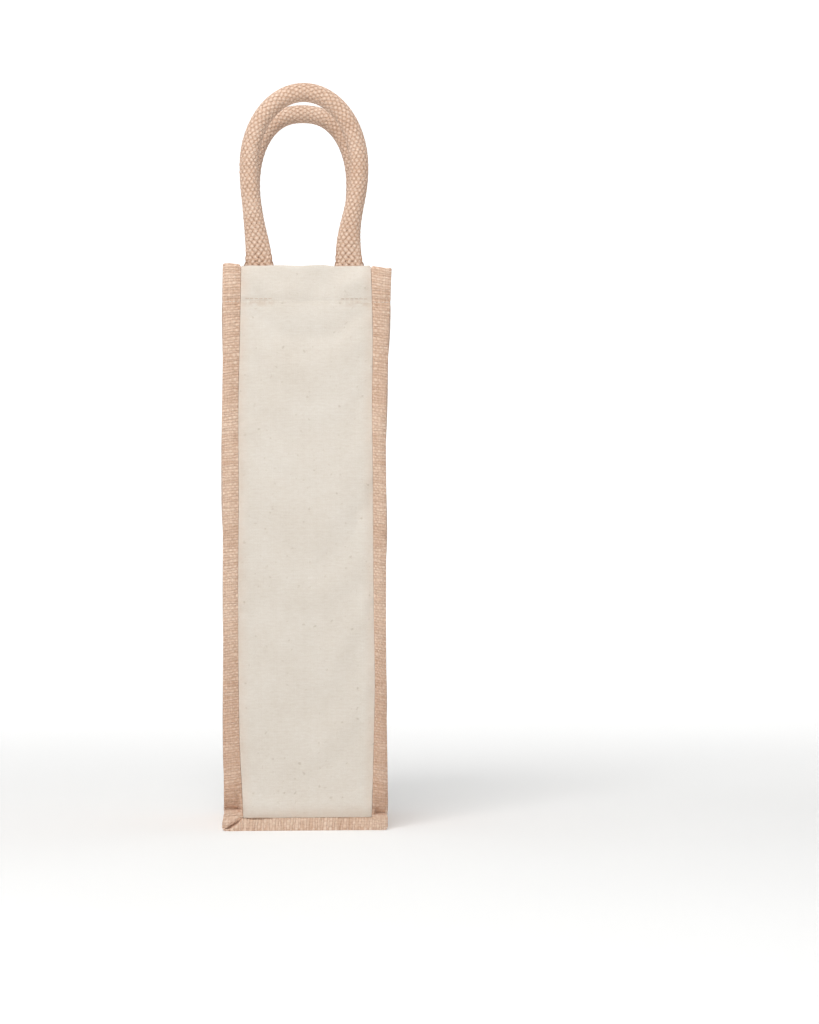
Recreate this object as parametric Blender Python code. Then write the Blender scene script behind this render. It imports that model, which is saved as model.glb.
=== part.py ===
"""Wine gift bag for one bottle: two canvas panels, one jute strip sewn between them, two padded handles.

The jute strip runs down one side, under the bag and up the other side, and wraps onto the front and
back faces as a border. The canvas panels turn in at that border, so every seam is hidden inside the
bag. The mouth is hemmed inwards. Each handle is a braided sleeve over a soft core, and its two
flattened ends are sewn to the inside of the hem.

Metres, +Z up. The origin is the middle of the base. The front faces -Y.
"""

import math

import bmesh
import bpy
from mathutils import Matrix, Vector

# ---- driving dimensions ---------------------------------------------------------------------------

WIDTH = 0.100
DEPTH = 0.100
HEIGHT = 0.350

JUTE = 0.0012
CANVAS = 0.0008
GAP = 0.0003

SIDE_BORDER = 0.0118  # jute that shows on the front, beside the canvas
BASE_BORDER = 0.0078  # the same below the canvas
TURNED_END = 0.0035  # how far from the bag's side a turned-in edge stops
TURNED_END_BASE = 0.0022
CORNER = 0.0022  # outer radius of the strip's long folds

HEM_DEPTH = 0.025
HEM_FOLD = 0.0012  # thickness of the fold that joins a hem to its wall
HEM_DROP = 0.0002  # below the rim, the top of a hem's inner layer
FOLD_DROP = 0.0005  # below the rim, the top of that fold
FOLD_SETBACK = 0.0001  # keeps a fold's ends off the faces of the layers it joins
PANEL_RECESS = 0.0002  # the canvas lies this far below the jute border

HANDLE_SPACING = 0.0554
HANDLE_DIAMETER = 0.012
HANDLE_END_WIDTH = 0.018
HANDLE_END_THICKNESS = 0.0026
HANDLE_HALF_SPAN = 0.03385  # centre line, at its widest
HANDLE_SHOULDER = 0.062  # height above the rim where it is widest
HANDLE_RISE = 0.1073  # height of the centre line's top above the rim
FLAT_LENGTH = 0.040  # length over which the sleeve goes from flat to round
FLAT_CURVE = 1.8  # how soon it narrows on the way up
END_RISE = 0.0005  # above the hem's lower edge, the bottom of a handle end
SLEEVE_WALL = 0.0010
CORE_START = 0.032  # height above the rim where the core begins
CORE_CLEARANCE = 0.0006  # between the core and the sleeve round it
FLEX_GAP = 0.002  # above the rim, where the webbing bends

THREAD = 0.0004
STITCH_DROP = 0.023  # below the rim, the row that holds the hem down
TACK_DROP = 0.0208  # below the rim, the short row across each handle end
TACK_LENGTH = 0.016
SEAM_INSET = 0.0015  # from the edge of the border to the seam, at the sides
SEAM_INSET_BASE = 0.0012

HINGE_OUT = 0.0010  # the handles bend about a line this far inside the bag's outer face
HINGE_RISE = 0.0009  # and this far above the rim

# ---- worked out from them -------------------------------------------------------------------------

HALF_WIDTH = WIDTH / 2
HALF_DEPTH = DEPTH / 2

CANVAS_OUT = HALF_DEPTH - PANEL_RECESS
CANVAS_IN = CANVAS_OUT - CANVAS
BORDER_BACK = HALF_DEPTH - 2 * JUTE - GAP  # inner face of the border's turned edge
ALLOWANCE_OUT = BORDER_BACK - GAP
ALLOWANCE_IN = ALLOWANCE_OUT - CANVAS

HEM_BOTTOM = HEIGHT - HEM_DEPTH
HEM_TOP = HEIGHT - HEM_DROP
FOLD_TOP = HEIGHT - FOLD_DROP
FOLD_BOTTOM = FOLD_TOP - HEM_FOLD
ALLOWANCE_TOP = FOLD_BOTTOM - GAP
HEM_OUT = CANVAS_IN - GAP  # canvas hem, folded against the inside of its panel
HEM_IN = HEM_OUT - CANVAS
JUTE_HEM_OUT = ALLOWANCE_IN - GAP
JUTE_HEM_IN = JUTE_HEM_OUT - JUTE
HEM_SIDE_OUT = HALF_WIDTH - JUTE - GAP
HEM_SIDE_IN = HEM_SIDE_OUT - JUTE
HEM_HALF_WIDTH = HALF_WIDTH - SIDE_BORDER - GAP - CANVAS - GAP

END_OUT = HEM_IN - GAP  # the handle ends lie on the inside of the canvas hem
HANDLE_PLANE = END_OUT - HANDLE_END_THICKNESS / 2
END_IN = END_OUT - HANDLE_END_THICKNESS
END_BOTTOM = HEM_BOTTOM + END_RISE

THREAD_OFF = GAP + THREAD / 2  # from a face to the middle of a thread that lies on it


# ---- helpers --------------------------------------------------------------------------------------


def clear_scene():
    for old in list(bpy.data.objects):
        bpy.data.objects.remove(old)


def material(name, colour, roughness):
    made = bpy.data.materials.new(name)
    made.use_nodes = True
    shader = made.node_tree.nodes["Principled BSDF"]
    shader.inputs["Base Color"].default_value = (*colour, 1.0)
    shader.inputs["Roughness"].default_value = roughness
    shader.inputs["Metallic"].default_value = 0.0
    made.diffuse_color = (*colour, 1.0)
    return made


def add_empty(name, place, parent=None):
    made = bpy.data.objects.new(name, None)
    bpy.context.scene.collection.objects.link(made)
    made.location = place
    made.parent = parent
    return made


def add_object(name, mesh_builder, made_of, parent):
    """An object from a bmesh in world coordinates. Its origin is its parent's, and its normals point out."""
    bmesh.ops.recalc_face_normals(mesh_builder, faces=mesh_builder.faces)
    mesh = bpy.data.meshes.new(name)
    mesh_builder.to_mesh(mesh)
    mesh_builder.free()
    mesh.transform(Matrix.Translation(-parent.location))
    mesh.materials.append(made_of)
    made = bpy.data.objects.new(name, mesh)
    bpy.context.scene.collection.objects.link(made)
    made.parent = parent
    return made


def add_rings(builder, rings):
    return [[builder.verts.new(point) for point in ring] for ring in rings]


def skin(builder, rings, closed=True):
    """Quads between neighbouring rings of vertices. closed joins each ring's last point to its first."""
    count = len(rings[0])
    for low, high in zip(rings, rings[1:]):
        for i in range(count if closed else count - 1):
            j = (i + 1) % count
            builder.faces.new((low[i], low[j], high[j], high[i]))


def add_box(builder, low, high):
    made = bmesh.ops.create_cube(builder, size=1.0)
    middle = (Vector(low) + Vector(high)) / 2
    size = Vector(high) - Vector(low)
    bmesh.ops.scale(builder, vec=size, verts=made["verts"])
    bmesh.ops.translate(builder, vec=middle, verts=made["verts"])


def add_prism(builder, outline, bottom, top):
    """A closed outline of (x, y) points, extruded from bottom to top."""
    face = builder.faces.new([builder.verts.new((x, y, bottom)) for x, y in outline])
    raised = bmesh.ops.extrude_face_region(builder, geom=[face])
    moved = [item for item in raised["geom"] if isinstance(item, bmesh.types.BMVert)]
    bmesh.ops.translate(builder, vec=(0, 0, top - bottom), verts=moved)


def union(target, name, builders):
    """Joins helper solids to target. Each one stays in the scene as a hidden wire guide."""
    for number, builder in enumerate(builders, 1):
        helper = add_object(f"{name}_{number}", builder, target.data.materials[0], target.parent)
        helper.hide_render = True
        helper.display_type = "WIRE"
        joined = target.modifiers.new(helper.name, "BOOLEAN")
        joined.operation = "UNION"
        joined.solver = "EXACT"
        joined.object = helper


def u_path(side_inset, base_inset, y, top=HEIGHT):
    """The four corners of a line down the left side, along the base and up the right side."""
    x = HALF_WIDTH - side_inset
    return ((-x, y, top), (-x, y, base_inset), (x, y, base_inset), (x, y, top))


# ---- the jute strip -------------------------------------------------------------------------------


def strip_section(arc_steps=3):
    """Half of the strip's cross-section, as (side inset, base inset, y), from the wall's outer face round
    the border to its inner face. The border is doubled where its edge turns back inside the bag."""
    half = []
    for step in range(arc_steps + 1):
        a = math.pi / 2 * step / arc_steps
        inset = CORNER * (1 - math.cos(a))
        half.append((inset, inset, HALF_DEPTH - CORNER * (1 - math.sin(a))))
    half += [
        (SIDE_BORDER, BASE_BORDER, HALF_DEPTH),
        (SIDE_BORDER, BASE_BORDER, BORDER_BACK),
        (TURNED_END, TURNED_END_BASE, BORDER_BACK),
        (TURNED_END, TURNED_END_BASE, BORDER_BACK + JUTE),
        (SIDE_BORDER - JUTE, BASE_BORDER - JUTE, BORDER_BACK + JUTE),
        (SIDE_BORDER - JUTE, BASE_BORDER - JUTE, HALF_DEPTH - JUTE),
        (JUTE, JUTE, HALF_DEPTH - JUTE),
    ]
    return half


def gusset_strip(jute, parent):
    half = strip_section()
    mirrored = [(side, base, -y) for side, base, y in reversed(half)]
    section = half + mirrored
    builder = bmesh.new()
    paths = [u_path(*point) for point in section]
    rings = add_rings(builder, [[path[station] for path in paths] for station in range(4)])
    skin(builder, rings)
    builder.faces.new(rings[0])
    builder.faces.new(list(reversed(rings[-1])))
    strip = add_object("gusset_strip", builder, jute, parent)

    middle = JUTE / 2  # the fold overlaps half of the wall and half of the hem
    for side, word in ((-1, "left"), (1, "right")):
        layer = channel(side, SIDE_BORDER, (HEM_SIDE_OUT, HEM_SIDE_IN), (JUTE_HEM_OUT, JUTE_HEM_IN))
        sides = (HALF_WIDTH - middle, HEM_SIDE_IN + middle)
        legs = (HALF_DEPTH - middle, JUTE_HEM_IN + middle)
        fold = channel(side, SIDE_BORDER - FOLD_SETBACK, sides, legs)
        builders = [bmesh.new(), bmesh.new()]
        add_prism(builders[0], layer, HEM_BOTTOM, HEM_TOP)
        add_prism(builders[1], fold, FOLD_BOTTOM, FOLD_TOP)
        union(strip, f"hem_{word}", builders)
    return strip


def channel(side, reach, wall_x, leg_y):
    """A C in plan, open towards the middle of the bag: along one side wall, with a leg on each border.
    wall_x and leg_y are the distances of its outer and inner faces from the bag's middle."""
    x_end = HALF_WIDTH - reach
    corners = [(x_end, leg_y[0]), (wall_x[0], leg_y[0])]
    inner = [(wall_x[1], leg_y[1]), (x_end, leg_y[1])]
    outline = corners + [(x, -y) for x, y in reversed(corners)]
    outline += [(x, -y) for x, y in reversed(inner)] + inner
    return [(side * x, y) for x, y in outline]


# ---- the canvas panels ----------------------------------------------------------------------------


def canvas_panel(name, side, canvas, parent):
    """A panel with its edges turned in behind the jute border. side is -1 in front and 1 at the back."""
    seam_side = SIDE_BORDER + GAP
    seam_base = BASE_BORDER + GAP
    outer = [
        (TURNED_END, TURNED_END_BASE, ALLOWANCE_OUT, ALLOWANCE_TOP),
        (seam_side, seam_base, ALLOWANCE_OUT, ALLOWANCE_TOP),
        (seam_side, seam_base, CANVAS_OUT, HEIGHT),
    ]
    inner = [
        (TURNED_END, TURNED_END_BASE, ALLOWANCE_IN, ALLOWANCE_TOP),
        (seam_side + CANVAS, seam_base + CANVAS, ALLOWANCE_IN, ALLOWANCE_TOP),
        (seam_side + CANVAS, seam_base + CANVAS, CANVAS_IN, HEIGHT),
    ]
    builder = bmesh.new()
    surfaces = []
    for points in (outer, inner):
        paths = [u_path(u, b, side * y, top) for u, b, y, top in points]
        stations = add_rings(builder, [[path[n] for path in paths] for n in range(4)])
        skin(builder, stations, closed=False)
        builder.faces.new([station[-1] for station in stations])
        surfaces.append(stations)
    for low, high in zip(range(3), range(1, 4)):
        free_edge = (surfaces[0][low][0], surfaces[0][high][0], surfaces[1][high][0], surfaces[1][low][0])
        builder.faces.new(free_edge)
    for station in (0, 3):
        for i in range(2):
            out, back = surfaces[0][station], surfaces[1][station]
            builder.faces.new((out[i], out[i + 1], back[i + 1], back[i]))
    rim = (surfaces[0][0][-1], surfaces[0][3][-1], surfaces[1][3][-1], surfaces[1][0][-1])
    builder.faces.new(rim)
    panel = add_object(name, builder, canvas, parent)

    layer, fold = bmesh.new(), bmesh.new()
    y_low, y_high = sorted((side * HEM_IN, side * HEM_OUT))
    add_box(layer, (-HEM_HALF_WIDTH, y_low, HEM_BOTTOM), (HEM_HALF_WIDTH, y_high, HEM_TOP))
    y_low, y_high = sorted((side * (HEM_IN + CANVAS / 2), side * (CANVAS_IN + CANVAS / 2)))
    reach = HEM_HALF_WIDTH - FOLD_SETBACK
    add_box(fold, (-reach, y_low, FOLD_TOP - CANVAS / 2), (reach, y_high, FOLD_TOP))
    union(panel, f"{name}_hem", [layer, fold])
    return panel


# ---- the handles ----------------------------------------------------------------------------------


def handle_line(height_steps=14, arch_steps=18):
    """The centre line above the rim, as (x, height above the rim), from the right end over to the left."""
    foot = HANDLE_SPACING / 2
    leg = []
    for step in range(height_steps):
        share = step / height_steps
        height = FLEX_GAP + (HANDLE_SHOULDER - FLEX_GAP) * share
        t = height / HANDLE_SHOULDER
        leg.append((foot + (HANDLE_HALF_SPAN - foot) * t * t * (3 - 2 * t), height))
    arch = []
    for step in range(arch_steps + 1):
        a = math.pi * step / arch_steps
        height = HANDLE_SHOULDER + (HANDLE_RISE - HANDLE_SHOULDER) * math.sin(a)
        arch.append((HANDLE_HALF_SPAN * math.cos(a), height))
    return leg + arch + [(-x, height) for x, height in reversed(leg)]


def sleeve_size(height, on_leg):
    """(width, thickness) of the sleeve: flat where it leaves the hem, round from FLAT_LENGTH up."""
    left = max(0.0, 1 - height / FLAT_LENGTH) if on_leg else 0.0
    width = HANDLE_DIAMETER + (HANDLE_END_WIDTH - HANDLE_DIAMETER) * left**FLAT_CURVE
    girth = math.pi * HANDLE_DIAMETER
    thickness = (girth - 2 * width) / (math.pi - 2)
    return width, max(HANDLE_END_THICKNESS, min(HANDLE_DIAMETER, thickness))


def handle_ring(line, index, width, thickness, side, sides):
    """An ellipse around one point of the centre line, square to it."""
    before = line[max(0, index - 1)]
    after = line[min(len(line) - 1, index + 1)]
    across = Vector((after[1] - before[1], before[0] - after[0])).normalized()
    x, height = line[index]
    ring = []
    for corner in range(sides):
        a = 2 * math.pi * corner / sides
        out = width / 2 * math.cos(a)
        y = side * HANDLE_PLANE + thickness / 2 * math.sin(a)
        ring.append((x + across.x * out, y, HEIGHT + height + across.y * out))
    return ring


def handle_sleeve(name, side, jute, parent, sides=12):
    line = handle_line()
    builder = bmesh.new()
    surfaces = []
    for wall in (0.0, SLEEVE_WALL):
        rings = []
        for index, (_, height) in enumerate(line):
            width, thickness = sleeve_size(height, height < HANDLE_SHOULDER)
            size = (width - 2 * wall, thickness - 2 * wall)
            rings.append(handle_ring(line, index, *size, side, sides))
        made = add_rings(builder, rings)
        skin(builder, made)
        surfaces.append(made)
    for end in (0, -1):
        skin(builder, [surfaces[0][end], surfaces[1][end]])
    made = add_object(name, builder, jute, parent)
    made.data.shade_smooth()
    return made


def handle_core(name, side, cotton, parent, sides=8):
    """The soft filler. It stops where the sleeve flattens."""
    line = handle_line()
    rounds = [i for i, (_, height) in enumerate(line) if height > CORE_START]
    builder = bmesh.new()
    rings = []
    for index in rounds:
        _, thickness = sleeve_size(line[index][1], line[index][1] < HANDLE_SHOULDER)
        size = thickness - 2 * SLEEVE_WALL - 2 * CORE_CLEARANCE
        rings.append(handle_ring(line, index, size, size, side, sides))
    made = add_rings(builder, rings)
    skin(builder, made)
    builder.faces.new(made[0])
    builder.faces.new(list(reversed(made[-1])))
    made = add_object(name, builder, cotton, parent)
    made.data.shade_smooth()
    return made


def handle_end(name, side, x, jute, parent, sides=10):
    """The flattened end of a sleeve, which is sewn to the inside of the hem."""
    outline = []
    flat = HANDLE_END_WIDTH / 2 - HANDLE_END_THICKNESS / 2
    for half in (1, -1):
        for step in range(sides // 2 + 1):
            a = math.pi * (step / (sides // 2) - 0.5)
            px = half * (flat + HANDLE_END_THICKNESS / 2 * math.cos(a))
            py = half * HANDLE_END_THICKNESS / 2 * math.sin(a)
            outline.append((x + px, side * HANDLE_PLANE + py))
    builder = bmesh.new()
    add_prism(builder, outline, END_BOTTOM, HEIGHT)
    return add_object(name, builder, jute, parent)


# ---- the thread -----------------------------------------------------------------------------------


def thread_along(name, points, across, closed, thread, parent):
    """One square thread along a flat path, mitred at its bends. across is the normal of the path's plane."""
    points = [Vector(point) for point in points]
    across = Vector(across)
    runs = [(after - point).normalized() for point, after in zip(points, points[1:] + points[:1])]
    if not closed:
        runs[-1] = runs[-2]
    lift = across * THREAD / 2
    rings = []
    for index, point in enumerate(points):
        behind = across.cross(runs[index - 1] if closed or index else runs[0])
        mitre = (behind + across.cross(runs[index])).normalized()
        mitre *= THREAD / 2 / mitre.dot(behind)
        rings.append((point + mitre + lift, point - mitre + lift, point - mitre - lift, point + mitre - lift))
    builder = bmesh.new()
    made = add_rings(builder, rings)
    if closed:
        made.append(made[0])
    skin(builder, made)
    if not closed:
        builder.faces.new(made[0])
        builder.faces.new(list(reversed(made[-1])))
    return add_object(name, builder, thread, parent)


def hem_threads(thread, parent, arc_steps=3):
    """The row that holds the hem down, all round the mouth: the needle's thread and the bobbin's."""
    z = HEIGHT - STITCH_DROP
    corner = CORNER + THREAD_OFF
    quarter = []
    for step in range(arc_steps + 1):
        a = math.pi / 2 * step / arc_steps
        x = HALF_WIDTH - CORNER + corner * math.cos(a)
        quarter.append((x, HALF_DEPTH - CORNER + corner * math.sin(a)))
    thread_along("hem_thread_outside", mirrored_loop(quarter, z), (0, 0, 1), True, thread, parent)

    over_ends = JUTE_HEM_IN - THREAD_OFF
    between_ends = HEM_IN - THREAD_OFF
    step_x = HANDLE_SPACING / 2 - HANDLE_END_WIDTH / 2 - THREAD_OFF
    quarter = [
        (HEM_SIDE_IN - THREAD_OFF, over_ends),
        (step_x, over_ends),
        (step_x, between_ends),
    ]
    thread_along("hem_thread_inside", mirrored_loop(quarter, z), (0, 0, 1), True, thread, parent)


def mirrored_loop(quarter, z):
    """A closed loop at height z, from its part in the +X +Y quarter, given anticlockwise."""
    half = quarter + [(-x, y) for x, y in reversed(quarter)]
    return [(x, y, z) for x, y in half + [(-x, -y) for x, y in half]]


def seam_thread(name, side, thread, parent):
    """The seam that joins one panel's turned edge to the strip's turned edge, seen from inside."""
    x = HALF_WIDTH - SIDE_BORDER + SEAM_INSET
    y = side * (ALLOWANCE_IN - THREAD_OFF)
    z = BASE_BORDER - SEAM_INSET_BASE
    top = HEM_BOTTOM - GAP
    points = [(-x, y, top), (-x, y, z), (x, y, z), (x, y, top)]
    thread_along(name, points, (0, 1, 0), False, thread, parent)


def handle_tack(name, x, y, thread, parent):
    """The short row just above the hem's row that holds a handle end."""
    half = TACK_LENGTH / 2
    z = HEIGHT - TACK_DROP
    thread_along(name, [(x - half, y, z), (x + half, y, z)], (0, 0, 1), False, thread, parent)


# ---- the bag --------------------------------------------------------------------------------------


def build():
    clear_scene()
    jute = material("jute", (0.665, 0.468, 0.352), 0.92)
    canvas = material("canvas", (0.768, 0.701, 0.622), 0.9)
    braid = material("handle_braid", (0.655, 0.462, 0.348), 0.9)
    cotton = material("core_cotton", (0.80, 0.77, 0.70), 0.95)
    thread = material("thread", (0.74, 0.66, 0.57), 0.7)

    bag = add_empty("bag", (0, 0, 0))
    gusset_strip(jute, bag)
    hem_threads(thread, bag)

    for word, side in (("front", -1), ("back", 1)):
        canvas_panel(f"{word}_panel", side, canvas, bag)
        seam_thread(f"{word}_seam_thread", side, thread, bag)
        for end, foot in (("left", -HANDLE_SPACING / 2), ("right", HANDLE_SPACING / 2)):
            handle_end(f"{word}_handle_end_{end}", side, foot, braid, bag)
            outside, inside = side * (CANVAS_OUT + THREAD_OFF), side * (END_IN - THREAD_OFF)
            handle_tack(f"{word}_handle_tack_{end}_outside", foot, outside, thread, bag)
            handle_tack(f"{word}_handle_tack_{end}_inside", foot, inside, thread, bag)

        hinge_place = (0, side * (HALF_DEPTH - HINGE_OUT), HEIGHT + HINGE_RISE)
        hinge = add_empty(f"{word}_handle_hinge", hinge_place, bag)
        handle_sleeve(f"{word}_handle_sleeve", side, braid, hinge)
        handle_core(f"{word}_handle_core", side, cotton, hinge)


build()
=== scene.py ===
"""The looks of the wine gift bag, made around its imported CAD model.

Every sheet of cloth is laid out flat-walled, layer by layer, as the CAD model has it. One function, warp(),
then moves all of them, and the stitches, to where a handled bag of soft cloth has them.

Metres, +Z up, the front faces -Y, as in the CAD model.
"""

import math

import bmesh
import bpy
import numpy as np
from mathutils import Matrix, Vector


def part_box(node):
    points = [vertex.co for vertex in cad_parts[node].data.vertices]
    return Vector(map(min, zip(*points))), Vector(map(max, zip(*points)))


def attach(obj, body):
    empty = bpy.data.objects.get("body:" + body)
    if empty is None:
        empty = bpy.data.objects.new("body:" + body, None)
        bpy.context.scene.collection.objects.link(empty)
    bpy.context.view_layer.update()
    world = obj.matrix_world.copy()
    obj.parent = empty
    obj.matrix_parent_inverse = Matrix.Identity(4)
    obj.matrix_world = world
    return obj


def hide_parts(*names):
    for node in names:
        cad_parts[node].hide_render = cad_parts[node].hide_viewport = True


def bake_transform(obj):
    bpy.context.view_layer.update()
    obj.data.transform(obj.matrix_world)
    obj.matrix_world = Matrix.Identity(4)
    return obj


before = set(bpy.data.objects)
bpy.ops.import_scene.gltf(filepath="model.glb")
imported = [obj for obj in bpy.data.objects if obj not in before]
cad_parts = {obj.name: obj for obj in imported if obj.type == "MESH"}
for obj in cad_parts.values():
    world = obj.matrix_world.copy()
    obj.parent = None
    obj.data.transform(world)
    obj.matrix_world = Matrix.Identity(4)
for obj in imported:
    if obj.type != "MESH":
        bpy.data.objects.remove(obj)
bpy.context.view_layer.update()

MM = 0.001

# ---- sizes from the frame

HALF_WIDTH, HALF_DEPTH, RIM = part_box("gusset_strip")[1]
END_LOW, END_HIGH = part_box("front_handle_end_right")
SLEEVE_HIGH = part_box("front_handle_sleeve")[1]
STITCH_Z = (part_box("hem_thread_outside")[0].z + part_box("hem_thread_outside")[1].z) / 2
TAB_X = (END_LOW.x + END_HIGH.x) / 2  # the middle of each handle end
HANDLE_Y = abs(END_LOW.y + END_HIGH.y) / 2  # each handle's plane
TACK_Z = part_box("front_handle_tack_left_outside")[0].z
HEM_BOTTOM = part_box("front_seam_thread")[1].z

# ---- cloth thicknesses and the layers, as depths of their middles below the bag's faces

JUTE = 0.8 * MM
CANVAS = 0.55 * MM
TOUCH = 0.05 * MM  # left between two layers that lie against each other
SIDE_BORDER = 11.8 * MM
BASE_BORDER = 7.8 * MM
SEAM = HALF_WIDTH - SIDE_BORDER
BORDER_DEPTH = JUTE / 2
JUTE_FOLD = 0.36 * MM
TURNED_DEPTH = BORDER_DEPTH + 2 * JUTE_FOLD
TURNED_END = 3.5 * MM
CANVAS_DEPTH = 0.22 * MM
CANVAS_FOLD = 0.22 * MM
ALLOWANCE_DEPTH = TURNED_DEPTH + (JUTE + CANVAS) / 2 + TOUCH
CANVAS_HEM_DEPTH = 1.7 * MM
CANVAS_FACE = HALF_DEPTH - CANVAS_DEPTH + CANVAS / 2  # the canvas's outer side
JUTE_HEM_INSET = 1.6 * MM
JUTE_HEM_DEPTH = ALLOWANCE_DEPTH + (JUTE + CANVAS) / 2 + TOUCH
SEAM_X = SEAM - CANVAS / 2 - TOUCH
SEAM_Z = BASE_BORDER + CANVAS / 2 + TOUCH


# ---- numbers


def unit(vectors):
    return vectors / np.linalg.norm(vectors, axis=-1, keepdims=True)


def together(*parts):
    """Arrays or numbers, spread over each other's shapes and joined as coordinates."""
    return np.stack(np.broadcast_arrays(*parts), -1)


def smooth(low, high, value):
    t = np.clip((value - low) / (high - low), 0, 1)
    return t * t * (3 - 2 * t)


def hump(middle, width, value):
    return np.exp(-(((value - middle) / width) ** 2))


def through(values, at, value):
    """A smooth curve through values at the places in at."""
    at, values = np.array(at, float), np.array(values, float)
    slope = np.gradient(values, at)
    value = np.clip(value, at[0], at[-1])
    i = np.clip(np.searchsorted(at, value, side="right") - 1, 0, len(at) - 2)
    gap = at[i + 1] - at[i]
    t = (value - at[i]) / gap
    start = (1 + 2 * t) * (1 - t) ** 2 * values[i] + t * (1 - t) ** 2 * gap * slope[i]
    return start + t * t * (3 - 2 * t) * values[i + 1] - t * t * (1 - t) * gap * slope[i + 1]


def ripple(a, b, length_a, length_b, seed, waves=26):
    """Smooth random waves of about the given lengths, with a spread of about 1."""
    draw = np.random.default_rng(seed)
    turn = draw.uniform(0, 2 * math.pi, waves)
    phase = draw.uniform(0, 2 * math.pi, waves)
    size = draw.uniform(0.6, 1.5, waves)
    total = 0
    for t, p, s in zip(turn, phase, size):
        total = total + np.cos(2 * math.pi * s * (np.cos(t) * a / length_a + np.sin(t) * b / length_b) + p)
    return total * math.sqrt(2 / waves)


def rounded(corners, radius, spacing, arc_steps=4):
    """Points along the line through corners, each inner corner rounded off, the straights evenly spaced."""
    corners = [np.array(corner, float) for corner in corners]
    line = [corners[0]]

    def straight_to(end):
        start = line[-1]
        steps = max(1, round(float(np.linalg.norm(end - start)) / spacing))
        line.extend(start + (end - start) * step / steps for step in range(1, steps + 1))

    for before, corner, after in zip(corners, corners[1:], corners[2:]):
        back, ahead = unit(before - corner), unit(after - corner)
        half = math.acos(np.clip(back @ ahead, -1, 1)) / 2
        centre = corner + unit(back + ahead) * radius / math.sin(half)
        start = corner + back * radius / math.tan(half)
        straight_to(start)
        first, last = start - centre, corner + ahead * radius / math.tan(half) - centre
        swing = math.pi - 2 * half
        for step in range(1, arc_steps + 1):
            t = step / arc_steps
            mix = math.sin((1 - t) * swing) * first + math.sin(t * swing) * last
            line.append(centre + mix / math.sin(swing))
    straight_to(corners[-1])
    return np.array(line)


def run_lengths(line):
    """Distance along a line, from its first point."""
    return np.concatenate([[0], np.cumsum(np.linalg.norm(np.diff(line, axis=0), axis=1))])


# ---- how the soft bag differs from the flat-walled one

HEIGHTS = tuple(RIM * share for share in (0, 0.06, 0.14, 0.25, 0.4, 0.6, 0.75, 0.88, 1))
EDGE_X = {  # how far each upright fold stands out from its straight place at these heights, in mm
    ("front", "left"): (2.0, 1.5, 1.8, 2.0, 1.9, 2.2, 2.5, 2.1, 1.9),
    ("front", "right"): (0.0, 0.0, -0.3, -0.9, -1.0, -1.0, -0.9, 0.7, 2.4),
    ("back", "left"): (0.6, 0.3, -0.1, -0.4, -0.6, -0.3, 0.1, 0.6, 1.4),
    ("back", "right"): (0.4, 0.3, 0.2, -0.2, -0.5, -0.7, -0.2, 0.5, 1.5),
}
EDGE_Y = {
    ("front", "left"): (0.5, 0.3, 0.0, -0.4, -0.7, -0.8, -0.6, -0.1, 0.3),
    ("front", "right"): (0.3, 0.2, -0.2, -0.5, -0.9, -0.8, -0.5, -0.2, 0.0),
    ("back", "left"): (0.4, 0.3, -0.1, -0.6, -0.8, -0.6, -0.5, 0.0, 0.2),
    ("back", "right"): (0.5, 0.2, 0.0, -0.3, -0.6, -0.9, -0.6, -0.3, 0.1),
}
SEAM_BOW = {  # the same for each seam
    ("front", "left"): (1.0, 1.9, 3.4, 4.2, 4.6, 4.2, 4.4, 3.4, 2.6),
    ("front", "right"): (1.6, 2.4, 3.2, 4.0, 3.3, 2.9, 2.3, 2.6, 1.4),
    ("back", "left"): (0.9, 1.5, 2.4, 3.0, 3.4, 3.5, 3.0, 2.3, 1.7),
    ("back", "right"): (0.8, 1.6, 2.3, 3.1, 3.5, 3.4, 3.1, 2.4, 1.8),
}
SEED = {"front": 11, "back": 47, "left": 83, "right": 129}
SIGN = {"front": -1, "back": 1, "left": -1, "right": 1}  # which way each wall faces
TAB_SIZE = {"front": (1.9 * MM, 2.8 * MM), "back": (2.2 * MM, 2.0 * MM)}  # bumps over the handle ends
TAB_FADE = 11 * MM  # below the rim, where those bumps start to fade
RIM_REACH = 22 * MM  # below the rim, where its ups and downs end
SPLAY = 1.5 * MM  # how far the base's lower edge stands out
CREASE_DEPTH = {"front": 6.6 * MM, "back": 4.2 * MM}  # above the base's corners
OPEN_LIP, LIP, SIDE_LIP = 3.4 * MM, 0.4 * MM, 0.6 * MM  # height of those creases above the base's border
CREASE_START, CREASE_END = 1.6 * MM, 14.5 * MM  # above the lip
OVERHANG_X = -31 * MM  # where the front canvas hangs over the base's border
BELLY = {"front": 1.6 * MM, "back": 1.0 * MM}  # how far the canvas swells just above that border
HOLLOW = 4.0 * MM  # how far the side walls sink in at their middle
GUSSET_FOLD = 1.5 * MM  # depth of the soft upright crease along that middle
TUCK_GAP, TUCK_LIFT = 3.8 * MM, 1.3 * MM  # the open tuck's depth, and how far its upper layer stands up
WALL_SOFT = 1.6 * MM  # how sharply a fold goes over from one wall's movement to the next one's

# ---- how the four walls hang: a cloth simulation of each

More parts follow.
